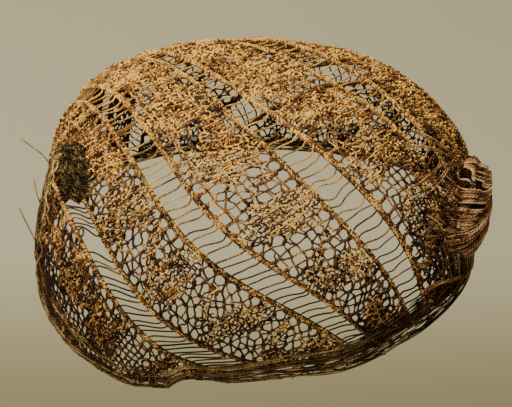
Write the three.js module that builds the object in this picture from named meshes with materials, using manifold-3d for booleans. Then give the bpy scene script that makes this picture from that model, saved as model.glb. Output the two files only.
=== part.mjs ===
import * as THREE from 'three';
import { mergeVertices } from 'three/addons/utils/BufferGeometryUtils.js';
import Module from 'manifold-3d';

// An open-weave cap: a net bag drawn together at both ends and worn as a cap.
// Millimetres. +X is the drawn right end, -Y the front, +Z up.
// The origin is where the top of a head meets the inside of the crown.

// Outer form of the crown. The powers square its shoulders, the tuck and its plan; the
// dents point to a heart that lies heartDepth of the height below the top.
const reachLeft = 93.4;
const reachRight = 123.7;
const reachFront = 100.1;
const reachBack = 88.5;
const crownHeight = 94.2;
const tuckDepth = 44.2;
const shoulderPower = 2.8;
const tuckPower = 2.2;
const planPower = 2.2;
const planBlend = 2;
const heartDepth = 0.6;
const netWall = 2;
const seatGap = 0.3;

// Where the net ends, as a polar angle that swings with the azimuth.
const rimAngle = 93.1;
const rimSwingRight = -4.7;
const rimSwingBack = 5.2;
const rimSwingEnds = -2.4;

// Lifts and drops of the edge, azimuth and spread in degrees, lift in degrees of polar angle.
const rimLifts = [
  { azimuth: -88, spread: 16, lift: 2 },
  { azimuth: -126, spread: 20, lift: -1.9 },
  { azimuth: -62, spread: 16, lift: -1 },
  { azimuth: -160, spread: 22, lift: 1.1 },
];

// Dents press the crown in and swells press it out. The azimuth and its spread are in
// degrees, the place down the crown and its spread are shares of the way from top to edge,
// and the depth is a share of dentUnit.
const dentUnit = 8;
const dents = [
  { azimuth: 180, spread: 20, down: 0.74, length: 0.2, depth: 0.5 },
  { azimuth: 50, spread: 26, down: 0.5, length: 0.22, depth: -0.19 },
  { azimuth: -45, spread: 24, down: 0.85, length: 0.3, depth: -0.13 },
  { azimuth: -8, spread: 15, down: 0.92, length: 0.16, depth: 1 },
  { azimuth: 118, spread: 24, down: 0.42, length: 0.2, depth: 0.2 },
];

// Ladder bands that cross the net aslant, as shares of bandPitch. The place is across the
// bands, the bow is how far the band bends, and the turn is where along it the bend lies.
// The lean is the shift of the rows of net beside the band, the slant that of its rungs.
const bandPitch = 53;
const bandAngle = -46;
const bowLength = 85;
const bands = [
  { place: -3.17, bow: 0.9, turn: 1.13, lean: -0.7, slant: 55 },
  { place: -2.21, bow: 0.9, turn: 1.13, lean: -0.35, slant: 55 },
  { place: -1.21, bow: 0.66, turn: 0.94, lean: 0, slant: 26 },
  { place: -0.23, bow: 0.34, turn: 1.5, lean: 0.25, slant: 12 },
  { place: 1.02, bow: -0.42, turn: 0.66, lean: 0.25, slant: -16 },
  { place: 2.08, bow: -0.19, turn: 0.38, lean: 0.1, slant: -16 },
  { place: 3.11, bow: 0, turn: 0.38, lean: 0, slant: 0 },
];

// Gaps cut through the net: windows in the ladder bands and openings in the net between.
const rungReach = 6.2;
const windowLength = 18;
const windowBar = 3.5;
const openingRepeat = 38;
const openingStart = 43;
const openingReach = 10;
const openingLength = 16;
const cornerShare = 0.5;
const runLength = 200;
const edgeMargin = 7;
const cutReach = 9;

// Rolled and drawn edge of the net. The height is a share of rollHeight.
const rollHeight = 4;
const rollThickness = 4.4;
const rollShape = [
  { azimuth: -180, height: 1.1 },
  { azimuth: -120, height: 1 },
  { azimuth: -95, height: 1.1 },
  { azimuth: -70, height: 2 },
  { azimuth: -45, height: 2.5 },
  { azimuth: -28, height: 1.3 },
  { azimuth: -5, height: 1.1 },
  { azimuth: 40, height: 1.2 },
  { azimuth: 180, height: 1.1 },
];

// Drawn-up ends. Centres and half sizes are an azimuth in degrees and a share of the way
// from the top of the crown to the end of the net; the swing leans a pad aslant.
const leftKnot = {
  azimuth: 203, down: 0.5, halfTurn: 12, halfDrop: 0.075, swing: 2, thickness: 4.2,
  ribs: 3, ribDepth: 0.08,
};
const rightSheaf = {
  azimuth: 350, down: 0.8, halfTurn: 20, halfDrop: 0.135, swing: -7, thickness: 11.5,
  ribs: 6, ribDepth: 0.12,
};
const fan = {
  azimuth: 321.5, down: 0.815, halfTurn: 4.6, halfDrop: 0.045, swing: -1, thickness: 3,
  ribs: 4, ribDepth: 0.14,
};

// Bundles of drawn threads that lie on the net, as places in the same measure.
const bundleLift = 0.6;
const edgeStrandRadius = 1.8;
const edgeStrandRoute = [
  { azimuth: 184, down: 0.56 },
  { azimuth: 184, down: 0.64 },
  { azimuth: 186, down: 0.72 },
  { azimuth: 189, down: 0.8 },
  { azimuth: 191, down: 0.87 },
  { azimuth: 194, down: 0.93 },
];
const tieRadius = 1.3;
const tieRoute = [
  { azimuth: 314, down: 0.868 },
  { azimuth: 320, down: 0.885 },
  { azimuth: 326, down: 0.908 },
  { azimuth: 332, down: 0.934 },
  { azimuth: 338, down: 0.95 },
];

// How finely the forms are divided, and the steps at which their slopes are read.
const turnSteps = 44;
const downSteps = 9;
const arcSteps = 60;
const rollSides = 8;
const rollRing = 10;
const padTurns = 14;
const padDrops = 22;
const bundleSteps = 18;
const bundleQuarters = 4;
const probeDown = 0.02;
const probeTurn = 2;
const mergeReach = 1e-4;
const fullTurn = 360;

const wasm = await Module();
wasm.setup();

function wrapDegrees(angle) {
  return THREE.MathUtils.euclideanModulo(angle + fullTurn / 2, fullTurn) - fullTurn / 2;
}

// A smooth hump of height 1, from how far a place is off its middle.
function hump(offset, spread) {
  return Math.exp(-((offset / spread) ** 2));
}

function rimPolar(azimuth) {
  const turn = THREE.MathUtils.degToRad(azimuth);
  let angle = rimAngle + rimSwingRight * Math.cos(turn) + rimSwingBack * Math.sin(turn);
  angle += rimSwingEnds * Math.cos(2 * turn);
  for (const row of rimLifts) {
    angle -= row.lift * hump(wrapDegrees(azimuth - row.azimuth), row.spread);
  }
  return THREE.MathUtils.degToRad(angle);
}

// A point of the crown's outer face; down runs from 0 at the top to 1 at the edge.
function crownPoint(azimuth, down) {
  const turn = THREE.MathUtils.degToRad(azimuth);
  const cosTurn = Math.cos(turn);
  const sinTurn = Math.sin(turn);
  const polar = down * rimPolar(azimuth);
  const toRight = (1 + Math.tanh(planBlend * cosTurn)) / 2;
  const toBack = (1 + Math.tanh(planBlend * sinTurn)) / 2;
  const reachX = THREE.MathUtils.lerp(reachLeft, reachRight, toRight);
  const reachY = THREE.MathUtils.lerp(reachFront, reachBack, toBack);
  const plan = Math.abs(cosTurn) ** planPower + Math.abs(sinTurn) ** planPower;
  const out = Math.abs(Math.sin(polar)) ** (2 / shoulderPower) * plan ** (-1 / planPower);
  const rise = Math.cos(polar);
  const height = rise >= 0
    ? crownHeight * rise ** (2 / shoulderPower)
    : -tuckDepth * (-rise) ** (2 / tuckPower);
  const point = new THREE.Vector3(reachX * out * cosTurn, reachY * out * sinTurn, height);
  point.z += netWall - crownHeight;
  const heart = new THREE.Vector3(0, 0, -crownHeight * heartDepth);
  const outward = point.clone().sub(heart).normalize();
  for (const row of dents) {
    const nearTurn = hump(wrapDegrees(azimuth - row.azimuth), row.spread);
    const nearDown = hump(down - row.down, row.length);
    point.addScaledVector(outward, -row.depth * dentUnit * nearTurn * nearDown);
  }
  return point;
}

function crownNormal(azimuth, down) {
  const inner = Math.max(down, probeDown * 2);
  const alongTurn = crownPoint(azimuth + probeTurn, inner);
  alongTurn.sub(crownPoint(azimuth - probeTurn, inner));
  const alongDown = crownPoint(azimuth, inner + probeDown);
  alongDown.sub(crownPoint(azimuth, inner - probeDown));
  return alongDown.cross(alongTurn).normalize();
}

// A point off the crown's outer face, by a distance along the face's normal.
function offCrown(azimuth, down, distance) {
  return crownPoint(azimuth, down).addScaledVector(crownNormal(azimuth, down), distance);
}

// The distance over the crown from its top, step by step down one azimuth.
function arcTable(azimuth) {
  const lengths = [0];
  let last = crownPoint(azimuth, 0);
  for (let step = 1; step <= arcSteps; step += 1) {
    const next = crownPoint(azimuth, step / arcSteps);
    lengths.push(lengths[step - 1] + next.distanceTo(last));
    last = next;
  }
  return lengths;
}

function downAtArc(azimuth, arc) {
  const lengths = arcTable(azimuth);
  for (let step = 1; step <= arcSteps; step += 1) {
    if (lengths[step] >= arc) {
      const part = (arc - lengths[step - 1]) / (lengths[step] - lengths[step - 1]);
      return (step - 1 + part) / arcSteps;
    }
  }
  return arc / lengths[arcSteps];
}

// A column of the band table, read between two bands.
function bandValue(lane, column) {
  const first = Math.min(Math.max(Math.floor(lane), 0), bands.length - 2);
  return THREE.MathUtils.lerp(bands[first][column], bands[first + 1][column], lane - first);
}

// A place in the net: lane counts the bands across, along is in millimetres.
function netPlace(lane, along) {
  const past = (along - bandValue(lane, 'turn') * bandPitch) / bowLength;
  const bow = bandValue(lane, 'bow') * bandPitch * (1 - hump(past, 1));
  const across = bandValue(lane, 'place') * bandPitch + bow;
  const slope = THREE.MathUtils.degToRad(bandAngle);
  const flatX = along * Math.cos(slope) - across * Math.sin(slope);
  const flatY = along * Math.sin(slope) + across * Math.cos(slope);
  const azimuth = THREE.MathUtils.radToDeg(Math.atan2(flatY, flatX));
  const arc = Math.hypot(flatX, flatY);
  const toEdge = arcTable(azimuth)[arcSteps] - rollHeightAt(azimuth) - arc;
  return { azimuth, toEdge, down: downAtArc(azimuth, arc) };
}

function closedSolid(geometry) {
  const plain = geometry.clone();
  plain.deleteAttribute('normal');
  plain.deleteAttribute('uv');
  const merged = mergeVertices(plain, mergeReach);
  const corners = merged.index.array;
  const kept = [];
  for (let start = 0; start < corners.length; start += 3) {
    const [a, b, c] = corners.slice(start, start + 3);
    if (a !== b && b !== c && c !== a) {
      kept.push(a, b, c);
    }
  }
  const vertProperties = new Float32Array(merged.attributes.position.array);
  const triVerts = new Uint32Array(kept);
  return new wasm.Manifold(new wasm.Mesh({ numProp: 3, vertProperties, triVerts }));
}

function solidGeometry(solid) {
  const mesh = solid.getMesh();
  const geometry = new THREE.BufferGeometry();
  geometry.setAttribute('position', new THREE.BufferAttribute(mesh.vertProperties, 3));
  geometry.setIndex(new THREE.BufferAttribute(mesh.triVerts, 1));
  geometry.computeVertexNormals();
  return geometry;
}

// Move every vertex of a blank form to its place on the cap.
function reshape(geometry, place) {
  const positions = geometry.attributes.position;
  const vertex = new THREE.Vector3();
  for (let index = 0; index < positions.count; index += 1) {
    vertex.fromBufferAttribute(positions, index);
    const moved = place(vertex);
    positions.setXYZ(index, moved.x, moved.y, moved.z);
  }
  return geometry;
}

// The rolled edge's height at an azimuth, measured down the crown.
function rollHeightAt(azimuth) {
  const angle = wrapDegrees(azimuth);
  let next = 1;
  while (rollShape[next].azimuth < angle) {
    next += 1;
  }
  const low = rollShape[next - 1];
  const high = rollShape[next];
  const part = (angle - low.azimuth) / (high.azimuth - low.azimuth);
  return rollHeight * THREE.MathUtils.lerp(low.height, high.height, part);
}

// The place down the crown that lies a distance above its very end.
function downAboveEnd(azimuth, distance) {
  return downAtArc(azimuth, arcTable(azimuth)[arcSteps] - distance);
}

// Shell of the crown: a dished blank of two faces, spun, then drawn to the crown's form.
// Its faces lie off the crown's outer face by the two given distances.
function crownShell(outer, inner) {
  const profile = [];
  for (let step = 0; step <= downSteps; step += 1) {
    profile.push(new THREE.Vector2(step / downSteps, 1));
  }
  for (let step = downSteps; step >= 0; step -= 1) {
    profile.push(new THREE.Vector2(step / downSteps, 0));
  }
  const blank = new THREE.LatheGeometry(profile.reverse(), turnSteps);
  return reshape(blank, (vertex) => {
    const azimuth = THREE.MathUtils.radToDeg(Math.atan2(-vertex.z, vertex.x));
    const edge = downAboveEnd(azimuth, rollHeightAt(azimuth) + seatGap);
    const down = Math.hypot(vertex.x, vertex.z) * edge;
    const off = THREE.MathUtils.lerp(inner, outer, vertex.y);
    return down < mergeReach ? new THREE.Vector3(0, 0, netWall + off) : offCrown(azimuth, down, off);
  });
}

// A prism through the wall whose outline joins the given places in the net.
function gapCutter(places) {
  const points = places.map((place) => crownPoint(place.azimuth, place.down));
  const middle = points.reduce((sum, point) => sum.add(point), new THREE.Vector3());
  middle.divideScalar(points.length);
  const across = points[1].clone().sub(points[0]);
  const diagonal = points[2].clone().sub(points[0]);
  const normal = diagonal.cross(points[3].clone().sub(points[1])).normalize();
  const axisY = normal.clone().cross(across).normalize();
  const axisX = axisY.clone().cross(normal);
  const outline = points.map((point) => {
    const arm = point.clone().sub(middle);
    return new THREE.Vector2(arm.dot(axisX), arm.dot(axisY));
  });
  const prism = new THREE.ExtrudeGeometry(new THREE.Shape(outline), {
    depth: 2 * cutReach,
    bevelEnabled: false,
  });
  prism.translate(0, 0, -cutReach);
  const frame = new THREE.Matrix4().makeBasis(axisX, axisY, normal).setPosition(middle);
  return prism.applyMatrix4(frame);
}

function cutFits(places) {
  return places.every((place) => place.toEdge > edgeMargin);
}

// Windows between the rungs of the ladder bands, each as long as a few rungs.
function ladderWindows() {
  const cutters = [];
  const pitch = windowLength + windowBar;
  const halfSpan = rungReach / bandPitch;
  const turns = Math.ceil(runLength / pitch);
  for (let band = 1; band < bands.length - 1; band += 1) {
    const slope = Math.tan(THREE.MathUtils.degToRad(bands[band].slant)) * rungReach;
    for (let turn = -turns; turn < turns; turn += 1) {
      const first = turn * pitch + windowBar / 2;
      const last = first + windowLength;
      const places = [
        netPlace(band - halfSpan, first - slope),
        netPlace(band + halfSpan, first + slope),
        netPlace(band + halfSpan, last + slope),
        netPlace(band - halfSpan, last - slope),
      ];
      if (cutFits(places)) {
        cutters.push(gapCutter(places));
      }
    }
  }
  return cutters;
}

// Six-sided openings in the net between two bands, between its close patches.
function netOpenings() {
  const cutters = [];
  const reach = openingReach / bandPitch;
  const half = openingLength / 2;
  const turns = Math.ceil(runLength / openingRepeat);
  for (let band = 0; band < bands.length - 1; band += 1) {
    const middle = band + 0.5;
    const lean = bandValue(middle, 'lean') * bandPitch;
    const tilt = (bands[band + 1].lean - bands[band].lean) * bandPitch;
    for (let turn = -turns; turn <= turns; turn += 1) {
      const along = openingStart + turn * openingRepeat + lean;
      const corner = (side, end) => {
        const across = side * reach;
        return netPlace(middle + across, along + tilt * across + end * half);
      };
      const places = [
        corner(-1, 0),
        corner(-cornerShare, -1),
        corner(cornerShare, -1),
        corner(1, 0),
        corner(cornerShare, 1),
        corner(-cornerShare, 1),
      ];
      if (cutFits(places)) {
        cutters.push(gapCutter(places));
      }
    }
  }
  return cutters;
}

function crownNet() {
  let solid = closedSolid(crownShell(0, -netWall));
  for (const cutter of [...ladderWindows(), ...netOpenings()]) {
    solid = solid.subtract(closedSolid(cutter));
  }
  return solidGeometry(solid);
}

// Rolled edge: a ring whose oval section hangs just below the end of the net.
function rimRoll() {
  const blank = new THREE.TorusGeometry(rollRing, 1, rollSides, turnSteps);
  return reshape(blank, (vertex) => {
    const azimuth = THREE.MathUtils.radToDeg(Math.atan2(vertex.y, vertex.x));
    const rise = (1 - (Math.hypot(vertex.x, vertex.y) - rollRing)) / 2;
    const down = downAboveEnd(azimuth, rollHeightAt(azimuth) * rise);
    return offCrown(azimuth, down, vertex.z * rollThickness / 2 - netWall / 2);
  });
}

// Cut a piece that lies on the net back to a small gap from it.
function seated(geometry) {
  const cover = closedSolid(crownShell(seatGap, -cutReach));
  return solidGeometry(closedSolid(geometry).subtract(cover));
}

// A pad of drawn threads that lies on the net: a flattened ball, ribbed where they run.
function threadPad(pad) {
  const blank = new THREE.SphereGeometry(1, padTurns, padDrops);
  return reshape(blank, (vertex) => {
    const azimuth = pad.azimuth + vertex.x * pad.halfTurn - vertex.y * pad.swing;
    const down = pad.down - vertex.y * pad.halfDrop;
    const fold = 1 - pad.ribDepth * (1 + Math.cos(vertex.y * pad.ribs * Math.PI));
    const height = Math.max(vertex.z, 0) * pad.thickness * fold;
    const foot = Math.max(-vertex.z, 0) * netWall;
    return offCrown(azimuth, down, height - foot);
  });
}

// A bundle of threads laid over the net along a short route.
function threadBundle(route, radius) {
  const points = route.map((row) => offCrown(row.azimuth, row.down, radius * bundleLift));
  const section = new THREE.Shape();
  section.absarc(0, 0, radius, 0, 2 * Math.PI, false);
  return new THREE.ExtrudeGeometry(section, {
    steps: bundleSteps,
    curveSegments: bundleQuarters,
    bevelEnabled: false,
    extrudePath: new THREE.CatmullRomCurve3(points),
  });
}

function thread(colour) {
  return new THREE.MeshStandardMaterial({ color: colour, roughness: 0.9, metalness: 0 });
}

function piece(name, geometry, colour) {
  const mesh = new THREE.Mesh(geometry, thread(colour));
  mesh.name = name;
  return mesh;
}

const cap = new THREE.Group();
cap.add(piece('crown_net', crownNet(), '#9a7646'));
cap.add(piece('rim_roll', rimRoll(), '#4a3420'));
cap.add(piece('left_gather', seated(threadPad(leftKnot)), '#3a2f20'));
cap.add(piece('left_edge_strands', seated(threadBundle(edgeStrandRoute, edgeStrandRadius)), '#5c4a2c'));
cap.add(piece('right_gather', seated(threadPad(rightSheaf)), '#7a4c26'));
cap.add(piece('gather_fan', seated(threadPad(fan)), '#5a3f26'));
cap.add(piece('gather_tie', seated(threadBundle(tieRoute, tieRadius)), '#8a5a2e'));

export default cap;
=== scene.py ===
import math
import bpy
import numpy as np
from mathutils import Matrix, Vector
from mathutils.geometry import delaunay_2d_cdt


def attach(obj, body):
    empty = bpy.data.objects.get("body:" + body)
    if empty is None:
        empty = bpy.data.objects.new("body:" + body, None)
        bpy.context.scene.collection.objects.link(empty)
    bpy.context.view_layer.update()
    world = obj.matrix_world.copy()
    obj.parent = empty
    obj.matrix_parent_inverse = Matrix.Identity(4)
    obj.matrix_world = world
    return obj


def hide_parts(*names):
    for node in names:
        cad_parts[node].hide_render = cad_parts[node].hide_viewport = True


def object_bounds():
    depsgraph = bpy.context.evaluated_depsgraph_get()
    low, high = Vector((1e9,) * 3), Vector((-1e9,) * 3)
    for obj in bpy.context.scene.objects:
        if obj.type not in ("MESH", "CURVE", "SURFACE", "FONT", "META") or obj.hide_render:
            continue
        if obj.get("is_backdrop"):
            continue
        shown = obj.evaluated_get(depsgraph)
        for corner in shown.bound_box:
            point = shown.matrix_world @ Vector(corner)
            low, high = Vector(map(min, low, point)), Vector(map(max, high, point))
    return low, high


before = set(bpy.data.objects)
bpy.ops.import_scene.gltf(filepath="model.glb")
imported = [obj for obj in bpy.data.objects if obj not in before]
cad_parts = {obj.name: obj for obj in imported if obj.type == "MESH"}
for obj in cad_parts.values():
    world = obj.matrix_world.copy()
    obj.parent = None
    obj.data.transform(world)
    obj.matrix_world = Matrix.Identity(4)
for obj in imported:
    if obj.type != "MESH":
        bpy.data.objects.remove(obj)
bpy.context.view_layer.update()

# Room
# A plain warm grey floor lies far below the cap, which is held up as on a head. One
# wide softbox hangs overhead, a weak one is in front, and the camera looks down on it.
VIEW_ELEVATION = 40.0
VIEW_DISTANCE = 0.9
VIEW_TARGET = (0.013, -0.0162, -0.0525)
VIEW_LENS, SENSOR_WIDTH = 134.64, 36.0
FLOOR_DEPTH, FLOOR_HALF, FLOOR_FAR = -0.34, 4, 6
FLOOR_COLOUR, FLOOR_CLOUD, FLOOR_PAINTED_SHADOW = "#ACA482", "#A39B7A", "#7C744E"
# Painted shadow: the floor is darker on the camera's side, up to a soft border between these places.
BORDER_START, BORDER_END = 0.12, 0.30
SKY_COLOUR = "#D9D2C2"
SKY_STRENGTH = 0.56
# Lamps: place and aim in metres, size in metres, power in watts.
LAMPS = [
    {"name": "softbox_above", "place": (-0.26, 0.30, 1.02), "size": 0.9, "power": 20.5},
    {"name": "softbox_front", "place": (-0.70, -1.10, 0.55), "size": 0.8, "power": 13.0},
]


def linear_colour(hex_colour, alpha=1.0):
    """An sRGB hex value as linear colour."""
    parts = [int(hex_colour[start:start + 2], 16) / 255 for start in (1, 3, 5)]
    bent = [part / 12.92 if part <= 0.04045 else ((part + 0.055) / 1.055) ** 2.4 for part in parts]
    return (*bent, alpha)


def add_node(tree, kind, inputs=None, **settings):
    """Add a node with its settings, and set or link its inputs by name or number."""
    node = tree.nodes.new(kind)
    for name, value in settings.items():
        setattr(node, name, value)
    for socket, value in (inputs or {}).items():
        if isinstance(value, bpy.types.NodeSocket):
            tree.links.new(value, node.inputs[socket])
        else:
            node.inputs[socket].default_value = value
    return node


def empty_material(name):
    """A material without nodes, and its tree."""
    material = bpy.data.materials.new(name)
    material.use_nodes = True
    material.node_tree.nodes.clear()
    return material, material.node_tree


# Painted board, rolled on: matt, with a faint unevenness of tone and a painted shadow on the camera's side.
floor_finish, tree = empty_material("matt_painted_board")
place = add_node(tree, "ShaderNodeTexCoord")
cloud = add_node(tree, "ShaderNodeTexNoise", {"Vector": place.outputs["Object"], "Scale": 3.0, "Detail": 2.0})
tint = add_node(tree, "ShaderNodeMix", {
    "Factor": cloud.outputs["Fac"],
    6: linear_colour(FLOOR_CLOUD),
    7: linear_colour(FLOOR_COLOUR),
}, data_type="RGBA")
depth = add_node(tree, "ShaderNodeSeparateXYZ", {"Vector": place.outputs["Object"]})
near = add_node(tree, "ShaderNodeMapRange", {
    "Value": depth.outputs["Y"],
    "From Min": BORDER_START,
    "From Max": BORDER_END,
    "To Min": 0.0,
    "To Max": 1.0,
}, interpolation_type="SMOOTHSTEP")
shaded = add_node(tree, "ShaderNodeMix", {
    "Factor": near.outputs[0],
    6: linear_colour(FLOOR_PAINTED_SHADOW),
    7: tint.outputs[2],
}, data_type="RGBA")
board = add_node(tree, "ShaderNodeBsdfPrincipled", {"Base Color": shaded.outputs[2], "Roughness": 0.9})
add_node(tree, "ShaderNodeOutputMaterial", {"Surface": board.outputs[0]})

floor_mesh = bpy.data.meshes.new("floor")
near_left, near_right = (-FLOOR_HALF, -FLOOR_HALF, FLOOR_DEPTH), (FLOOR_HALF, -FLOOR_HALF, FLOOR_DEPTH)
far_right, far_left = (FLOOR_HALF, FLOOR_FAR, FLOOR_DEPTH), (-FLOOR_HALF, FLOOR_FAR, FLOOR_DEPTH)
floor_mesh.from_pydata([near_left, near_right, far_right, far_left], [], [(0, 1, 2, 3)])
floor = bpy.data.objects.new("floor", floor_mesh)
bpy.context.collection.objects.link(floor)
floor_mesh.materials.append(floor_finish)
floor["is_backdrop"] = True

world = bpy.data.worlds.new("room")
world.use_nodes = True
world.node_tree.nodes["Background"].inputs["Color"].default_value = linear_colour(SKY_COLOUR)
world.node_tree.nodes["Background"].inputs["Strength"].default_value = SKY_STRENGTH
bpy.context.scene.world = world

for row in LAMPS:
    light = bpy.data.lights.new(row["name"], "AREA")
    light.size = row["size"]
    light.energy = row["power"]
    lamp = bpy.data.objects.new(row["name"], light)
    lamp.location = row["place"]
    aim = Vector(VIEW_TARGET) - Vector(row["place"])
    lamp.rotation_euler = aim.to_track_quat("-Z", "Y").to_euler()
    bpy.context.collection.objects.link(lamp)

rise = math.radians(VIEW_ELEVATION)
camera = bpy.data.objects.new("camera", bpy.data.cameras.new("camera"))
camera.location = Vector(VIEW_TARGET) + VIEW_DISTANCE * Vector((0, -math.cos(rise), math.sin(rise)))
camera.rotation_euler = (Vector(VIEW_TARGET) - camera.location).to_track_quat("-Z", "Y").to_euler()
camera.data.lens = VIEW_LENS
camera.data.sensor_width = SENSOR_WIDTH
bpy.context.collection.objects.link(camera)
bpy.context.scene.camera = camera

# Edge cords of the ladder bands
# Each band has two, of plied vegetable thread worked so close that they stand up as a
# beaded ridge about 3 mm wide. They follow the crown, whose form and whose slanting
# bands are given here as in the solid net, in mm and degrees.
MM = 0.001
REACH_LEFT, REACH_RIGHT, REACH_FRONT, REACH_BACK = 93.4, 123.7, 100.1, 88.5
CROWN_HEIGHT, TUCK_DEPTH, NET_WALL = 94.2, 44.2, 2.0
SHOULDER_POWER, TUCK_POWER, PLAN_POWER, PLAN_BLEND, HEART_DEPTH = 2.8, 2.2, 2.2, 2.0, 0.6
RIM_ANGLE, RIM_SWING_RIGHT, RIM_SWING_BACK, RIM_SWING_ENDS = 93.1, -4.7, 5.2, -2.4
# Lifts of the edge: azimuth, spread and lift, all in degrees.
RIM_LIFTS = [
    (-88, 16, 2),
    (-126, 20, -1.9),
    (-62, 16, -1),
    (-160, 22, 1.1),
    (-101, 8, 1.6),
    (-118, 8, -2.3),
    (-58, 22, -0.4),
    (-88, 10, -0.8),
]
# Dents: azimuth and spread in degrees, place down the crown and its spread, depth in 8 mm.
DENT_UNIT = 8.0
DENTS = [
    (180, 20, 0.74, 0.20, 0.50),
    (50, 26, 0.50, 0.22, -0.19),
    (-45, 24, 0.85, 0.30, -0.13),
    (-8, 15, 0.92, 0.16, 1.00),
    (118, 24, 0.42, 0.20, 0.20),
]
# Bands, in shares of the pitch: place across, bow, turn of the bow, lean of the rows
# beside the band, and the slant of its rungs in degrees.
BAND_PITCH, BAND_ANGLE, BOW_LENGTH = 53.0, math.radians(-46), 85.0
BANDS = {
    "place": (-3.17, -2.21, -1.21, -0.23, 1.02, 2.08, 3.11),
    "bow": (0.90, 0.90, 0.66, 0.34, -0.42, -0.19, 0.0),
    "turn": (1.13, 1.13, 0.94, 1.50, 0.66, 0.38, 0.38),
    "lean": (-0.70, -0.35, 0.0, 0.25, 0.25, 0.10, 0.0),
    "slant": (55, 55, 26, 12, -16, -16, 0),
}
# The rolled edge's height round the cap, as a share of 4 mm.
ROLL_HEIGHT, ROLL_THICKNESS = 4.0, 4.4
ROLL = {
    "azimuth": (-180, -120, -95, -70, -45, -28, -5, 40, 180),
    "share": (1.1, 1.0, 1.1, 2.0, 2.5, 1.3, 1.1, 1.2, 1.1),
}
# The cords' distance from the middle of their band, how far they run along the net to
# both sides, and the step, half length, slant and half width of their stitches.
CORD_PLACE, CORD_SPAN = 7.7, 210
STITCH_STEP, STITCH_HALF, STITCH_SLANT, STITCH_PLACE = 1.3, 0.80, 38, 0.50
# Depth and radius of a stitch at its two ends and in its middle, and its range of tone.
STITCH_LIFT, STITCH_RADIUS, STITCH_RANGE = (-1.3, -0.45, -1.3), (0.32, 0.45, 0.32), (-0.12, 0.75)
CORE_PLACE, CORE_LIFT, CORE_RADIUS, CORE_TONE = 0.7, -1.5, 0.50, 0.25
# Radius of the single thread.
THREAD = 0.46


def wrap_degrees(angle):
    """The same angle between -180 and 180 degrees."""
    return (np.asarray(angle, float) + 180) % 360 - 180


def hump(offset, spread):
    """A smooth bump that is 1 in its middle."""
    return np.exp(-(offset / spread) ** 2)


def rim_polar(azimuth):
    """How far down the crown reaches at an azimuth, as an angle from its top."""
    turn = np.radians(azimuth)
    angle = RIM_ANGLE + RIM_SWING_RIGHT * np.cos(turn) + RIM_SWING_BACK * np.sin(turn)
    angle = angle + RIM_SWING_ENDS * np.cos(2 * turn)
    for middle, spread, lift in RIM_LIFTS:
        angle = angle - lift * hump(wrap_degrees(azimuth - middle), spread)
    return np.radians(angle)


def crown_point(azimuth, down):
    """Points of the crown's outer face in mm; down runs from 0 at the top to 1 at the edge."""
    azimuth, down = np.broadcast_arrays(np.asarray(azimuth, float), np.asarray(down, float))
    turn = np.radians(azimuth)
    cos_turn, sin_turn = np.cos(turn), np.sin(turn)
    polar = down * rim_polar(azimuth)
    to_right = (1 + np.tanh(PLAN_BLEND * cos_turn)) / 2
    to_back = (1 + np.tanh(PLAN_BLEND * sin_turn)) / 2
    reach_x = REACH_LEFT + (REACH_RIGHT - REACH_LEFT) * to_right
    reach_y = REACH_FRONT + (REACH_BACK - REACH_FRONT) * to_back
    plan = np.abs(cos_turn) ** PLAN_POWER + np.abs(sin_turn) ** PLAN_POWER
    out = np.abs(np.sin(polar)) ** (2 / SHOULDER_POWER) * plan ** (-1 / PLAN_POWER)
    lift = np.cos(polar)
    height = np.where(
        lift >= 0,
        CROWN_HEIGHT * np.abs(lift) ** (2 / SHOULDER_POWER),
        -TUCK_DEPTH * np.abs(lift) ** (2 / TUCK_POWER))
    height = height + NET_WALL - CROWN_HEIGHT
    point = np.stack([reach_x * out * cos_turn, reach_y * out * sin_turn, height], -1)
    outward = point + (0, 0, HEART_DEPTH * CROWN_HEIGHT)
    outward /= np.linalg.norm(outward, axis=-1, keepdims=True)
    for middle, spread, row_down, length, depth in DENTS:
        near = hump(wrap_degrees(azimuth - middle), spread) * hump(down - row_down, length)
        point = point - outward * (depth * DENT_UNIT * near)[..., None]
    return point


def off_crown(azimuth, down, distance):
    """Points off the crown's outer face by a distance along its normal, in mm."""
    inner = np.maximum(down, 0.04)
    along_turn = crown_point(azimuth + 2, inner) - crown_point(azimuth - 2, inner)
    along_down = crown_point(azimuth, inner + 0.02) - crown_point(azimuth, inner - 0.02)
    normal = np.cross(along_down, along_turn)
    normal /= np.linalg.norm(normal, axis=-1, keepdims=True)
    return crown_point(azimuth, down) + normal * np.asarray(distance, float)[..., None]


# Distances over the crown from its top, for whole degrees of azimuth.
TABLE_STEPS = 60
table_turn = np.arange(-180, 181)
table_down = np.linspace(0, 1, TABLE_STEPS + 1)
table_points = crown_point(table_turn[:, None], table_down[None, :])
table_steps = np.linalg.norm(np.diff(table_points, axis=1), axis=-1)
arc_table = np.concatenate([np.zeros((len(table_turn), 1)), np.cumsum(table_steps, axis=1)], axis=1)


def arc_rows(azimuth):
    """Distances over the crown at an azimuth, one for each step down."""
    turn = wrap_degrees(azimuth) + 180
    low = np.clip(turn.astype(int), 0, 359)
    part = (turn - low)[..., None]
    return arc_table[low] * (1 - part) + arc_table[low + 1] * part


def down_at_arc(azimuth, arc):
    """Place down the crown at a distance over it from the top."""
    rows = arc_rows(azimuth)
    step = np.clip((rows < arc[..., None]).sum(-1), 1, TABLE_STEPS)
    low = np.take_along_axis(rows, (step - 1)[..., None], -1)[..., 0]
    high = np.take_along_axis(rows, step[..., None], -1)[..., 0]
    return (step - 1 + (arc - low) / (high - low)) / TABLE_STEPS


def roll_height(azimuth):
    return ROLL_HEIGHT * np.interp(wrap_degrees(azimuth), ROLL["azimuth"], ROLL["share"])


def down_above_end(azimuth, distance):
    """Place down the crown at a distance above its edge."""
    return down_at_arc(azimuth, arc_rows(azimuth)[..., -1] - distance)


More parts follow.
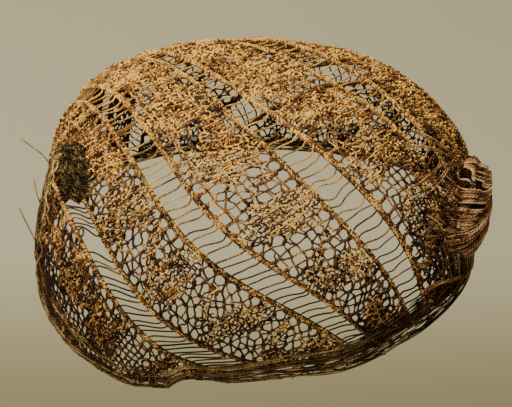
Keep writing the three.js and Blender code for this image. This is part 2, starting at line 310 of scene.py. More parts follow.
def band_value(lane, column):
    """A column of the band table between two bands, or carried on past the last."""
    values = np.array(BANDS[column], float)
    low = np.clip(np.floor(lane).astype(int), 0, len(values) - 2)
    return values[low] + (values[low + 1] - values[low]) * (lane - low)


# The sheaf draws the far cord of one band aside near its end, in mm.
DRAWN_LANE, DRAWN_ALONG, DRAWN_SPREAD, DRAWN_ASIDE = 4.0, 140.0, 30.0, 9.0


def flat_across(lane, along):
    """Where a lane lies across the unrolled net, in mm."""
    past = (along - band_value(lane, "turn") * BAND_PITCH) / BOW_LENGTH
    bow = band_value(lane, "bow") * BAND_PITCH * (1 - hump(past, 1))
    aside = np.interp(lane - DRAWN_LANE, (-0.145, 0.145, 0.9), (0, DRAWN_ASIDE, 0))
    aside = aside * hump(along - DRAWN_ALONG, DRAWN_SPREAD)
    return band_value(lane, "place") * BAND_PITCH + bow + aside


# How much more net than crown there is near the edge, in mm, where it is drawn together.
SPARE = {
    "azimuth": (-180, -150, -110, -92, -72, -45, -20, 0, 40, 120, 180),
    "net": (6, 6, 5, 5, 9, 12, 11, 10, 5, 5, 6),
}
SPARE_REACH = 24.0


def crown_place(along, across):
    """Azimuth, place down the crown and distance to the rolled edge of flat places."""
    flat_x = along * math.cos(BAND_ANGLE) - across * math.sin(BAND_ANGLE)
    flat_y = along * math.sin(BAND_ANGLE) + across * math.cos(BAND_ANGLE)
    azimuth = np.degrees(np.arctan2(flat_y, flat_x))
    arc = np.hypot(flat_x, flat_y)
    spare = np.interp(azimuth, SPARE["azimuth"], SPARE["net"])
    end = arc_rows(azimuth)[..., -1] - roll_height(azimuth)
    slack = end + spare - arc
    drawn = SPARE_REACH + spare
    near = SPARE_REACH * np.clip(slack / drawn, 0, 1) ** (drawn / SPARE_REACH)
    to_edge = np.where(slack > drawn, slack - spare, np.where(slack > 0, near, slack))
    return azimuth, down_at_arc(azimuth, end - to_edge), to_edge


def net_points(along, across, lift):
    """Points on the crown of flat places, and their distance to the rolled edge."""
    azimuth, down, to_edge = crown_place(along, across)
    return off_crown(azimuth, down, np.broadcast_to(lift, np.shape(azimuth))), to_edge


# Where the thread is darker or more golden: azimuth, down, reach in mm and shift of tone. The rows that
# lighten are painted light.
TONE_SHIFTS_AND_PAINTED_LIGHT = [
    # Painted light on the left wall and the front.
    (203, 0.68, 32, 0.10),
    (240, 0.80, 34, 0.10),
    (284, 0.70, 36, 0.09),
    (324, 0.64, 16, -0.14),
    (314, 0.92, 26, -0.16),
    (260, 0.82, 26, -0.06),
    # Painted light on the top, and on the lower back, whose inside shows through the net and lies in shade.
    (90, 0.15, 62, 0.04),
    (60, 0.62, 48, 0.30),
    (110, 0.62, 48, 0.30),
    (155, 0.62, 40, 0.22),
]


def bleach_and_painted_light(points, gain):
    """How much lighter the threads are towards the top of the crown, partly bleaching and partly painted
    light from above.
    """
    return gain * np.clip((points[..., 2] + 32) / 20, 0, 1)


def tone_shift_and_painted_light(points):
    """Shift of tone at points, from the table of tone shifts, whose lightening rows are painted light."""
    shift = np.zeros(points.shape[:-1])
    for azimuth, down, reach, tone in TONE_SHIFTS_AND_PAINTED_LIGHT:
        away = np.linalg.norm(points - crown_point(azimuth, down), axis=-1)
        shift = shift + tone * hump(away, reach)
    return shift


class ThreadStock:
    """Threads cut for one piece: paths in mm with a thickness, a tone and a depth, which darkens them as
    painted shade.
    """

    def __init__(self):
        self.paths = []

    def add(self, points, radius, tone, depth_shade=0.0):
        """points is (threads, steps, 3); the rest spread over threads and steps."""
        count = points.shape[:2]
        rest = (np.broadcast_to(np.asarray(given, float), count) for given in (radius, tone, depth_shade))
        radius, tone, depth_shade = rest
        self.paths.append((points, radius, tone + tone_shift_and_painted_light(points), depth_shade))

    def mesh(self, name):
        """A mesh of edges along the paths, with what the spinning and the finish read."""
        points = np.concatenate([path[0].reshape(-1, 3) for path in self.paths]) * MM
        mesh = bpy.data.meshes.new(name)
        mesh.vertices.add(len(points))
        mesh.vertices.foreach_set("co", points.ravel())
        links = []
        start = 0
        for path in self.paths:
            threads, steps = path[0].shape[:2]
            index = start + np.arange(threads * steps).reshape(threads, steps)
            links.append(np.stack([index[:, :-1], index[:, 1:]], -1).reshape(-1, 2))
            start += threads * steps
        links = np.concatenate(links)
        mesh.edges.add(len(links))
        mesh.edges.foreach_set("vertices", links.ravel())
        runs = []
        for path in self.paths:
            steps = np.linalg.norm(np.diff(path[0], axis=1), axis=-1)
            runs.append(np.concatenate([np.zeros((len(steps), 1)), np.cumsum(steps, 1)], 1).ravel())
        columns = {"run": np.concatenate(runs)}
        for number, column in enumerate(("thickness", "tone", "depth_shade"), 1):
            columns[column] = np.concatenate([path[number].ravel() for path in self.paths])
        columns["thickness"] = columns["thickness"] * MM
        for column, values in columns.items():
            mesh.attributes.new(column, "FLOAT", "POINT").data.foreach_set("value", values)
        return mesh


def spinning_tree():
    """Geometry nodes that wind a round thread along each path of a mesh of edges."""
    tree = bpy.data.node_groups.new("spun_thread", "GeometryNodeTree")
    tree.interface.new_socket("Geometry", in_out="OUTPUT", socket_type="NodeSocketGeometry")
    tree.interface.new_socket("Paths", in_out="INPUT", socket_type="NodeSocketGeometry")
    tree.interface.new_socket("Sides", in_out="INPUT", socket_type="NodeSocketInt")
    tree.interface.new_socket("Thread", in_out="INPUT", socket_type="NodeSocketMaterial")
    given = add_node(tree, "NodeGroupInput")
    curve = add_node(tree, "GeometryNodeMeshToCurve", {"Mesh": given.outputs["Paths"]})
    ring = add_node(tree, "GeometryNodeCurvePrimitiveCircle", {
        "Resolution": given.outputs["Sides"], "Radius": 1.0})
    where = add_node(tree, "GeometryNodeInputPosition")
    marked = add_node(tree, "GeometryNodeStoreNamedAttribute", {
        "Geometry": ring.outputs["Curve"], "Name": "around", "Value": where.outputs[0],
    }, data_type="FLOAT_VECTOR", domain="POINT")
    thickness = add_node(tree, "GeometryNodeInputNamedAttribute", {"Name": "thickness"}, data_type="FLOAT")
    spun = add_node(tree, "GeometryNodeCurveToMesh", {
        "Curve": curve.outputs[0],
        "Profile Curve": marked.outputs[0],
        "Scale": thickness.outputs["Attribute"],
        "Fill Caps": True,
    })
    smooth = add_node(tree, "GeometryNodeSetShadeSmooth", {"Geometry": spun.outputs[0], "Shade Smooth": True})
    real = add_node(tree, "GeometryNodeRealizeInstances", {"Geometry": smooth.outputs[0]})
    dressed = add_node(tree, "GeometryNodeSetMaterial", {
        "Geometry": real.outputs[0], "Material": given.outputs["Thread"]})
    add_node(tree, "NodeGroupOutput", {"Geometry": dressed.outputs[0]})
    return tree


spun_thread = spinning_tree()


def spin(name, stock, finish, node, sides=5):
    """Spin a stock of threads into one piece that rides on the cap and stands for a node."""
    piece = bpy.data.objects.new(name, stock.mesh(name))
    bpy.context.collection.objects.link(piece)
    modifier = piece.modifiers.new("spin", "NODES")
    modifier.node_group = spun_thread
    items = spun_thread.interface.items_tree
    sockets = {item.name: item.identifier for item in items if item.in_out == "INPUT"}
    modifier[sockets["Sides"]] = sides
    modifier[sockets["Thread"]] = finish
    seen = piece.evaluated_get(bpy.context.evaluated_depsgraph_get())
    plain = bpy.data.meshes.new_from_object(seen)
    piece.modifiers.remove(modifier)
    piece.data = plain
    plain.name = name
    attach(piece, "root")
    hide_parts(node)


# How strongly blotches, flecks, plies and depth change a thread's tone. The ply ticks are painted light and
# shade, and the darkening by depth is painted shade on threads that lie under others.
BLOTCH_GAIN, FLECK_GAIN, PLY_LIGHT_AND_SHADE_GAIN, DEPTH_SHADE_GAIN = 1.3, 0.7, 0.16, -0.6
# Plies of a thread, and the distance in mm from tick to tick of one side of it.
PLIES, TICK_STEP = 2.0, 1.8
# The dust and the painted light from above grow between these heights, in metres.
DUST_AND_LIGHT_START, DUST_AND_LIGHT_END = -0.075, 0.0


def thread_finish(name, tones, lightness, dust_and_light_gain=0.30):
    """Hand-plied vegetable thread, lighter on top, partly from dust and partly as painted light from above:
    matt, with two plies whose crests and grooves show as painted light and dark ticks every 1.8 mm, and tones
    that differ thread by thread."""
    material, tree = empty_material(name)
    place = add_node(tree, "ShaderNodeTexCoord").outputs["Object"]
    read = {}
    for column in ("tone", "depth_shade", "run", "around"):
        read[column] = add_node(tree, "ShaderNodeAttribute", attribute_name=column).outputs
    around = add_node(tree, "ShaderNodeSeparateXYZ", {"Vector": read["around"]["Vector"]}).outputs
    angle = add_node(tree, "ShaderNodeMath", {0: around["Y"], 1: around["X"]}, operation="ARCTAN2")
    wound = add_node(tree, "ShaderNodeMath", {
        0: read["run"]["Fac"], 1: 2 * math.pi / TICK_STEP}, operation="MULTIPLY")
    turn = add_node(tree, "ShaderNodeMath", {
        0: angle.outputs[0], 1: PLIES, 2: wound.outputs[0]}, operation="MULTIPLY_ADD")
    ply = add_node(tree, "ShaderNodeMath", {0: turn.outputs[0]}, operation="SINE").outputs[0]
    blotch = add_node(tree, "ShaderNodeTexNoise", {"Vector": place, "Scale": 110.0, "Detail": 3.0})
    fleck = add_node(tree, "ShaderNodeTexNoise", {"Vector": place, "Scale": 900.0, "Detail": 2.0})
    height = add_node(tree, "ShaderNodeSeparateXYZ", {"Vector": place}).outputs["Z"]
    dust_and_light = add_node(tree, "ShaderNodeMapRange", {
        "Value": height, "From Min": DUST_AND_LIGHT_START, "From Max": DUST_AND_LIGHT_END, "To Min": -0.5, "To Max": 0.5})
    # Each term adds its own value times its gain. The noise terms run round 0.5.
    terms = [
        (read["tone"]["Fac"], 1.0),
        # Lighter towards the top: partly dust, partly painted light from above.
        (dust_and_light.outputs[0], dust_and_light_gain),
        (blotch.outputs["Fac"], BLOTCH_GAIN),
        (fleck.outputs["Fac"], FLECK_GAIN),
        # The ply ticks paint light on the crests and shade in the grooves.
        (ply, PLY_LIGHT_AND_SHADE_GAIN),
        # Threads that lie deep are darkened as painted shade.
        (read["depth_shade"]["Fac"], DEPTH_SHADE_GAIN),
    ]
    value = lightness - 0.5 * (BLOTCH_GAIN + FLECK_GAIN)
    for term, gain in terms:
        added = add_node(tree, "ShaderNodeMath", {0: term, 1: gain, 2: value}, operation="MULTIPLY_ADD")
        value = added.outputs[0]
    ramp = add_node(tree, "ShaderNodeValToRGB", {"Fac": value})
    stops = ramp.color_ramp.elements
    while len(stops) < len(tones):
        stops.new(0.5)
    for stop, (at, colour) in zip(stops, tones):
        stop.position = at
        stop.color = linear_colour(colour)
    relief = add_node(tree, "ShaderNodeMath", {
        0: fleck.outputs["Fac"], 1: 1.2, 2: ply}, operation="MULTIPLY_ADD")
    bump = add_node(tree, "ShaderNodeBump", {
        "Strength": 0.7, "Distance": 0.00018, "Height": relief.outputs[0]})
    shader = add_node(tree, "ShaderNodeBsdfPrincipled", {
        "Base Color": ramp.outputs["Color"],
        "Roughness": 0.88,
        "IOR": 1.45,
        "Specular IOR Level": 0.14,
        "Normal": bump.outputs["Normal"],
    })
    add_node(tree, "ShaderNodeOutputMaterial", {"Surface": shader.outputs[0]})
    return material


NET_TONES = [
    (0.0, "#2A180A"), (0.24, "#5A3A1E"), (0.5, "#986A34"), (0.74, "#DAA24E"), (1.0, "#FFCB66"),
]
CLOSE_TONES = [
    (0.0, "#281408"), (0.24, "#58361A"), (0.5, "#966230"), (0.74, "#DAA24E"), (1.0, "#FFCB66"),
]
net_thread = thread_finish("plied_vegetable_thread", NET_TONES, 0.13, dust_and_light_gain=0.36)
cord_thread = thread_finish("close_worked_cord", NET_TONES, 0.13, dust_and_light_gain=0.36)
close_thread = thread_finish("close_worked_net", CLOSE_TONES, 0.12, dust_and_light_gain=0.60)

# All random draws come from this one seeded source.
chance = np.random.default_rng(7)
# Each stitch of a cord has two slanting legs and one short bar over them. Two plain
# core threads run on below.
cords = ThreadStock()
for band in range(1, len(BANDS["place"]) - 1):
    for side in (-1, 1):
        lane = band + side * CORD_PLACE / BAND_PITCH
        along = np.arange(-CORD_SPAN, CORD_SPAN, STITCH_STEP)
        across = flat_across(lane, along)
        to_edge = crown_place(along, across)[2]
        keep = to_edge > -1
        along, across = along[keep], across[keep]
        count = len(along)
        for leg in (-1, 1, 0):
            middle = leg * STITCH_PLACE * np.ones(count) + chance.normal(0, 0.13, count)
            near = along + chance.normal(0, 0.22, count) + (0.5 if leg == 0 else 0)
            share = np.array([-1, 0, 1])
            half = STITCH_HALF if leg else 0.5
            slant = leg if leg else chance.choice([-1, 1], count)
            turn = np.radians(STITCH_SLANT * slant + chance.normal(0, 12, count))
            step_along = near[:, None] + share * half * np.cos(turn)[:, None]
            step_across = across[:, None] + middle[:, None] + share * half * np.sin(turn)[:, None]
            lift = np.array(STITCH_LIFT) + (0.2 if leg == 0 else 0)
            lift = lift + chance.normal(0, 0.16, (count, 1))
            points, _ = net_points(step_along, step_across, lift)
            radius = np.array(STITCH_RADIUS) * chance.uniform(0.8, 1.15, (count, 1))
            cords.add(points, radius, chance.uniform(*STITCH_RANGE, (count, 1)))
        core_along = np.arange(along.min(), along.max(), 2.0)[None, :]
        for offset in (-CORE_PLACE, CORE_PLACE):
            core, _ = net_points(core_along, flat_across(lane, core_along) + offset, CORE_LIFT)
            # The cores lie deep, which darkens them as painted shade under the stitches.
            cords.add(core, CORE_RADIUS, CORE_TONE, 0.5)
spin("ladder_band_cords", cords, cord_thread, "crown_net", sides=4)

# Rungs of the ladder bands
# These are bare single threads, 12 to 15 mm long, that cross from cord to cord with a
# lazy S and hook into the upper cord. They hang by their ends only.
RUNG_STEP, RUNG_HOOK, RUNG_STEPS, RUNG_SPAN = 4.55, 1.9, 11, 205
# How far a rung ends from the middle of its cord, its range of tone, and how much lighter it is towards the
# top, partly bleaching and partly painted light from above.
RUNG_INSET, RUNG_RANGE, RUNG_BLEACH_AND_LIGHT = 0.9, (-0.32, 0.12), 0.34
# Tears where rungs are gone: azimuth, down and reach in mm.
TEARS = [(225.0, 0.645, 6.8)]
# Broken ends: azimuth and down of the root, heading in degrees, length in mm, curl in turns.
BROKEN_ENDS = [
    (221.0, 0.640, 20, 11, 0.9),
    (257.0, 0.645, 60, 10, 1.2),
]
# Five rungs lie together here in one thick brown strand: azimuth and down.
THICK_STRAND = [(205.5, 0.312), (204.0, 0.27), (203.0, 0.225)]


def through(points, count, rounds=6):
    """A path of count places through a few given ones, smoothed in rounds."""
    points = np.array(points, float)
    at = np.linspace(0, len(points) - 1, count)
    path = np.stack([np.interp(at, np.arange(len(points)), column) for column in points.T])
    for _ in range(rounds):
        path[:, 1:-1] = (path[:, :-2] + 2 * path[:, 1:-1] + path[:, 2:]) / 4
    return path


def flat_place(azimuth, down):
    """Flat place along and across the net of a place on the crown."""
    arc = np.interp(down, table_down, arc_rows(azimuth))
    flat_x, flat_y = arc * math.cos(math.radians(azimuth)), arc * math.sin(math.radians(azimuth))
    along = flat_x * math.cos(BAND_ANGLE) + flat_y * math.sin(BAND_ANGLE)
    return along, flat_y * math.cos(BAND_ANGLE) - flat_x * math.sin(BAND_ANGLE)


rungs = ThreadStock()
for band in range(1, len(BANDS["place"]) - 1):
    slope = math.tan(math.radians(BANDS["slant"][band]))
    # They lie closer together where the first band runs into the left gather.
    near = flat_place(215.0, 0.58)[0] if band == 1 else -999
    even = np.arange(-RUNG_SPAN, RUNG_SPAN, 1.0)
    number = np.cumsum((1 + 0.55 * hump(even - near, 24)) / RUNG_STEP)
    starts = np.interp(np.arange(1, number[-1]), number, even)
    count = len(starts)
    starts = starts + chance.normal(0, 0.6, count)
    share = np.linspace(-1, 1, RUNG_STEPS)
    reach = CORD_PLACE - RUNG_INSET
    swing = chance.uniform(0.1, 1.3, (count, 1))
    hook = -RUNG_HOOK * np.clip((share - 0.35) / 0.65, 0, 1) ** 2.2 * swing
    foot = 0.5 * RUNG_HOOK * np.clip((-share - 0.55) / 0.45, 0, 1) ** 2 * swing
    sway = np.sin(share * math.pi) * chance.normal(0, 0.5, (count, 1))
    sway = sway + (1 - share ** 2) * chance.normal(0.2, 0.6, (count, 1))
    along = starts[:, None] + slope * reach * share + hook + foot + sway
    lanes = band + share * reach / BAND_PITCH
    across = flat_across(np.broadcast_to(lanes, along.shape), along)
    points, to_edge = net_points(along, across, -1.1 - 0.5 * (1 - share ** 2))
    keep = to_edge.min(axis=1) > -1.5
    for azimuth, down, size in TEARS:
        keep &= np.linalg.norm(points[:, RUNG_STEPS // 2] - crown_point(azimuth, down), axis=-1) > size
    tone = chance.uniform(*RUNG_RANGE, (count, 1)) + bleach_and_painted_light(points, RUNG_BLEACH_AND_LIGHT)
    rungs.add(points[keep], 0.88 * THREAD * chance.uniform(0.85, 1.1, (count, 1))[keep], tone[keep])
for azimuth, down, heading, length, curl in BROKEN_ENDS:
    along, across = flat_place(azimuth, down)
    share = np.linspace(0, 1, RUNG_STEPS * 2)
    turn = np.radians(heading) + 2 * math.pi * curl * share ** 1.5
    path_along = along + np.cumsum(np.cos(turn)) * length / len(share)
    path_across = across + np.cumsum(np.sin(turn)) * length / len(share)
    points, _ = net_points(path_along, path_across, -0.8 + 1.2 * share)
    rungs.add(points[None], THREAD, 0.1)
azimuth, down = through(THICK_STRAND, RUNG_STEPS)
for strand in range(5):
    side = (strand - 2) * 0.55
    points = off_crown(azimuth + side * 0.9, down + 0.004 * math.sin(strand * 2.0), -0.9 + 0.3 * (strand % 2))
    rungs.add(points[None], THREAD, 0.12 * (strand % 3))
spin("ladder_rungs", rungs, net_thread, "crown_net", sides=5)

# Net between the bands
# It is one fabric of interlinked threads, whose cells are squares beside the cords, then
# narrow slits, then rounded cells of 4 to 8 mm, crossed by close-worked strips. Each
# cell is laid out by its middle, and the threads between cells are drawn taut.

# Distances in mm from the middle of a band.
CORD_EDGE, SQUARE_PLACE, SLIT_PLACE, INNER_PLACE = 9.3, 11.8, 14.7, 15.6
# Steps along the net of squares, round cells and close-worked cells, and the latter's
# step across it, in mm.
SQUARE_STEP, ROW_STEP, CLOSE_STEP, CLOSE_LENGTH = 6.33, 4.2, 1.75, 2.4
# How far cells, close-worked cells and row threads are laid out along the net.
CELL_SPAN, CLOSE_SPAN, ROW_SPAN = 215, 210, 205
# How often a close-worked strip comes along the net, where, and its half width, in mm.
STRIP_REPEAT, STRIP_PLACE, STRIP_HALF = 38.0, 24.0, 7.4
ROW_THREAD_STEP, ROW_THREAD_REACH, ROW_THREAD_RADIUS = 2.2 / 1.5, 9.0, 0.42
# Depth and radius of a close-worked stitch at its two ends and in its middle.
CLOSE_LIFT, CLOSE_RADIUS = (-1.15, -0.35, -1.15), (0.34, 0.48, 0.34)
# Ranges of tone, and how much lighter the top of the open net is, partly bleaching and partly painted light
# from above.
OPEN_RANGE, CLOSE_RANGE, ROW_RANGE, OPEN_BLEACH_AND_LIGHT = (-0.34, 0.20), (-0.42, 0.78), (-0.35, 0.6), 0.12
# Shares of the round cells that are joined, and of the close-worked ones left out.
JOINED_SHARE, HOLE_SHARE = 0.20, 0.08
# Below this length a thread's two joints are drawn into one crossing. Above the other
# it would span a gap in the layout, and is left out.
CROSSING, LONGEST_THREAD = 2.3, 14
# The threads are tightened in rounds: how strongly cells press, threads pull and
# crossings close in one, and the longest move of a joint in mm.
TIGHTENING_ROUNDS, PRESS_GAIN, PULL_GAIN, DRAW_GAIN, LONGEST_MOVE = 9, 0.05, 0.05, 0.36, 0.4
# Kinds of cell, and their wanted areas in square mm.
FIXED, SQUARE, SLIT, ROUND, CLOSE = range(5)
FIXED_AREA, SQUARE_AREA, SLIT_AREA, ROUND_AREA, JOINED_AREA, CLOSE_AREA = 12, 21, 8.5, 15.5, 32.0, 6.0
# Where the front and the middle pieces of the net end, in mm from the front to the back.
FRONT_END, MIDDLE_END = -62, 5
# Stretches of net: from lane to lane, with the columns of cells inside.
ZONES = [(-1, 1, 19), (1, 2, 6), (2, 3, 6), (3, 4, 6), (4, 5, 6), (5, 7, 19)]
# Places worked close or left open: azimuth, down, half turn in degrees, half drop, closeness.
CLOSE_PLACES = [
    (328, 0.66, 13, 0.13, 1.5),
    (205, 0.34, 16, 0.12, 1.5),
    (352, 0.52, 16, 0.16, 1.5),
    (20, 0.45, 20, 0.14, 1.5),
    (200, 0.65, 13, 0.11, 0.2),
    (190, 0.78, 10, 0.16, 0.2),
    (208, 0.90, 13, 0.09, 0.2),
    (222, 0.885, 6, 0.045, 0.2),
    (236, 0.955, 8, 0.035, 0.2),
    (244, 0.90, 9, 0.05, 0.3),
    (226, 0.78, 6, 0.07, 1.4),
    (234, 0.88, 6, 0.05, 1.4),
    (212, 0.745, 4, 0.04, 1.5),
]


def close_share(lane, along, across):
    """Above 1 where the net is worked close."""
    row = along - band_value(lane, "lean") * BAND_PITCH
    off = np.abs((row - STRIP_PLACE + STRIP_REPEAT / 2) % STRIP_REPEAT - STRIP_REPEAT / 2)
    arc = np.hypot(along, across)
    wobble = np.sin(lane * 9.1 + along * 0.13) + np.sin(lane * 17.3 - along * 0.071)
    half = STRIP_HALF + 1.6 * wobble + 7.0 * hump(arc, 62)
    share = half / np.maximum(off, 0.1)
    # Thin swaths run aslant through the open cells from strip to strip.
    aslant = row - STRIP_PLACE + (lane - np.floor(lane) - 0.2) * 46
    swath = np.abs((aslant + STRIP_REPEAT / 2) % STRIP_REPEAT - STRIP_REPEAT / 2)
    share = np.maximum(share, (2.2 + 0.7 * wobble) / np.maximum(swath, 0.1))
    azimuth, down, to_edge = crown_place(along, across)
    share = share * np.interp(to_edge, (4, 16), (0.6, 1.0))
    # The back is worked more openly, away from the top.
    share = share * (1 - 0.5 * hump(wrap_degrees(azimuth - 90), 60) * np.clip((down - 0.25) / 0.2, 0, 1))
    for middle, place, turn, drop, closeness in CLOSE_PLACES:
        away = np.hypot(wrap_degrees(azimuth - middle) / turn, (down - place) / drop)
        share = np.where(away < 1, closeness, share)
    return share


def zone_seeds(zone, last, count):
    """Middles of the cells between two bands: along, across, lane, area and kind."""
    span = (last - zone) * BAND_PITCH
    beside = [
        (2 * CORD_EDGE - SQUARE_PLACE - 0.6, SQUARE_STEP / 2, FIXED, FIXED_AREA),
        (SQUARE_PLACE, SQUARE_STEP, SQUARE, SQUARE_AREA),
        (SLIT_PLACE, SQUARE_STEP, SLIT, SLIT_AREA),
    ]
    columns = beside + [(span - offset, *rest) for offset, *rest in beside]
    width = (span - 2 * INNER_PLACE) / count
    # A round cell bears its column's number until its area is set.
    columns += [(INNER_PLACE + (index + 0.5) * width, ROW_STEP, ROUND, index) for index in range(count)]
    rows = []
    for offset, step, kind, area in columns:
        along = np.arange(-CELL_SPAN, CELL_SPAN, step)
        lane = np.full(len(along), zone + offset / BAND_PITCH)
        lean = band_value(lane, "lean") * BAND_PITCH
        rows.append((along + lean, lane, np.full(len(along), area), np.full(len(along), kind)))
    along, lane, area, kind = (np.concatenate(part) for part in zip(*rows))
    return along, flat_across(lane, along), lane, area, kind


def net_cells(seeds, area, fixed):
    """Threads between cells: joints, and for each thread its two joints and two cells."""
    points, _, faces, origin, _, _ = delaunay_2d_cdt([Vector(seed) for seed in seeds], [], [], 0, 1e-4)
    source = np.array([ids[0] if ids else -1 for ids in origin])
    corners = np.array([face for face in faces if len(face) == 3])
    where = np.array([tuple(point) for point in points])
    cells = source[corners]
    # A joint lies where its three cells are equally far, so that squares meet four by four.
    corner = where[corners]
    joints = corner.mean(axis=1)
    edge_b, edge_c = corner[:, 1] - corner[:, 0], corner[:, 2] - corner[:, 0]
    twice = 2 * (edge_b[:, 0] * edge_c[:, 1] - edge_b[:, 1] * edge_c[:, 0])
    square_b, square_c = (edge_b ** 2).sum(1), (edge_c ** 2).sum(1)
    middle = np.stack([
        edge_c[:, 1] * square_b - edge_b[:, 1] * square_c,
        edge_b[:, 0] * square_c - edge_c[:, 0] * square_b], 1) / twice[:, None] + corner[:, 0]
    shift = middle - joints
    reach = np.linalg.norm(shift, axis=1, keepdims=True)
    joints = joints + shift * np.minimum(1, 0.22 * np.sqrt(np.abs(twice))[:, None] / np.maximum(reach, 1e-6))
    sides = np.concatenate([corners[:, [0, 1]], corners[:, [1, 2]], corners[:, [2, 0]]])
    owner = np.tile(np.arange(len(corners)), 3)
    key = np.sort(sides, axis=1)
    order = np.lexsort((key[:, 1], key[:, 0]))
    same = (key[order][1:] == key[order][:-1]).all(axis=1)
    first, second = order[:-1][same], order[1:][same]
    threads = np.stack([owner[first], owner[second]], 1)
    pair = source[sides[first]]
    held = fixed[cells].any(axis=1)
    cross_ok = (area[pair] > CLOSE_AREA).all(axis=1)
    for _ in range(TIGHTENING_ROUNDS):
        start, end = joints[threads[:, 0]], joints[threads[:, 1]]
        along = end - start
        # Each thread's first joint lies in the triangle that runs from cell 0 to cell 1.
        turn = (start[:, 0] * end[:, 1] - start[:, 1] * end[:, 0]) / 2
        size = np.zeros(len(seeds))
        np.add.at(size, pair[:, 0], -turn)
        np.add.at(size, pair[:, 1], turn)
        size = np.abs(size) + 0.5
        press = np.clip(area / size - 1, -0.7, 1.5)
        normal = np.stack([-along[:, 1], along[:, 0]], 1)
        push = normal * (press[pair[:, 1]] - press[pair[:, 0]])[:, None] * -PRESS_GAIN
        move = np.zeros_like(joints)
        np.add.at(move, threads[:, 0], push)
        np.add.at(move, threads[:, 1], push)
        pull = np.zeros_like(joints)
        number = np.zeros(len(joints))
        np.add.at(pull, threads[:, 0], along)
        np.add.at(pull, threads[:, 1], -along)
        np.add.at(number, threads.ravel(), 1)
        move += PULL_GAIN * pull / np.maximum(number, 1)[:, None]
        # Where two threads cross, their two short joints are drawn into one.
        short = (np.linalg.norm(along, axis=1) < CROSSING) & cross_ok
        draw = along * DRAW_GAIN * short[:, None]
        np.add.at(move, threads[:, 0], draw)
        np.add.at(move, threads[:, 1], -draw)
        move = np.clip(move, -LONGEST_MOVE, LONGEST_MOVE)
        move[held] = 0
        joints = joints + move
    return joints, threads, pair


def by_place(points):
    """Which threads belong to the front, the middle and the back of the cap."""
    side = points[:, 0, 1]
    middle = (side >= FRONT_END) & (side < MIDDLE_END)
    return [("front", side < FRONT_END), ("middle", middle), ("back", side >= MIDDLE_END)]


def share_out(stocks, points, radius, tone, depth_shade=0.0):
    """Add threads to the stocks of the places where they lie."""
    for name, chosen in by_place(points):
        stocks[name].add(points[chosen], radius[chosen], tone[chosen], depth_shade)


def join_cells(along, across, single, column_of):
    """Draw some neighbouring cells together by twos: which are joined, and which are gone."""
    joined = np.zeros(len(along), bool)
    gone = np.zeros(len(along), bool)
    for index in np.where(single)[0]:
        if gone[index] or joined[index] or chance.random() > JOINED_SHARE:
            continue
        beside = np.where(single & ~gone & ~joined & (column_of == column_of[index] + 1))[0]
        if len(beside) == 0:
            continue
        gap = np.hypot(along[beside] - along[index], across[beside] - across[index])
        other = beside[gap.argmin()]
        if gap.min() < 1.5 * ROW_STEP:
            along[index] = (along[index] + along[other]) / 2
            across[index] = (across[index] + across[other]) / 2
            joined[index] = True
            gone[other] = True
    return joined, gone


def lay_cells(zone, last, inner):
    """Middles, wanted areas and kinds of all the cells between two bands."""
    along, across, lane, area, kind = zone_seeds(zone, last, inner)
    room = crown_place(along, across)[2] > -16
    along, across, lane, area, kind = (column[room] for column in (along, across, lane, area, kind))
    share = close_share(lane, along, across)
    ragged = share * chance.normal(1, 0.16, len(share))
    close = (ragged > 1) & ((kind == ROUND) | ((kind > FIXED) & (ragged > 1.7)))
    column_of = np.where(kind == ROUND, area, -1)
    joined, gone = join_cells(along, across, (kind == ROUND) & ~close, column_of)
    along = along + chance.normal(0, np.where(kind == ROUND, 0.24, 0.12))
    across = across + chance.normal(0, np.where(kind == ROUND, 0.24, 0.05))
    area = np.where(kind == ROUND, ROUND_AREA, area)
    area = np.where(joined, JOINED_AREA, area)
    keep = ~gone & ~close
    seeds = [np.stack([along[keep], across[keep]], 1)]
    areas = [area[keep]]
    kinds = [kind[keep]]
    # Close-worked cells fill what was left out, on a fine staggered grid.
    fine_along = np.arange(-CLOSE_SPAN, CLOSE_SPAN, CLOSE_STEP)
    fine_offset = np.arange(CORD_EDGE, (last - zone) * BAND_PITCH - CORD_EDGE + 0.1, CLOSE_LENGTH)
    grid_along, grid_offset = np.meshgrid(fine_along, fine_offset)
    grid_along = grid_along + (np.arange(len(fine_offset)) % 2)[:, None] * CLOSE_STEP / 2
    grid_along, grid_offset = grid_along.ravel(), grid_offset.ravel()
    grid_lane = zone + grid_offset / BAND_PITCH
    grid_along = grid_along + band_value(grid_lane, "lean") * BAND_PITCH
    grid_across = flat_across(grid_lane, grid_along)
    room = crown_place(grid_along, grid_across)[2] > -6
    grid_along, grid_across = grid_along[room], grid_across[room]
    if close.any() and len(grid_along):
        nearest = np.empty(len(grid_along), int)
        for begin in range(0, len(grid_along), 2000):
            piece = slice(begin, begin + 2000)
            gap = (grid_along[piece, None] - along) ** 2 + (grid_across[piece, None] - across) ** 2
            nearest[piece] = gap.argmin(axis=1)
        fine = close[nearest] & (chance.random(len(nearest)) > HOLE_SHARE)
        spot = np.stack([grid_along[fine], grid_across[fine]], 1)
        seeds.append(spot + chance.normal(0, 0.32, spot.shape))
        areas.append(np.full(len(spot), CLOSE_AREA))
        kinds.append(np.full(len(spot), CLOSE))
    return np.concatenate(seeds), np.concatenate(areas), np.concatenate(kinds)


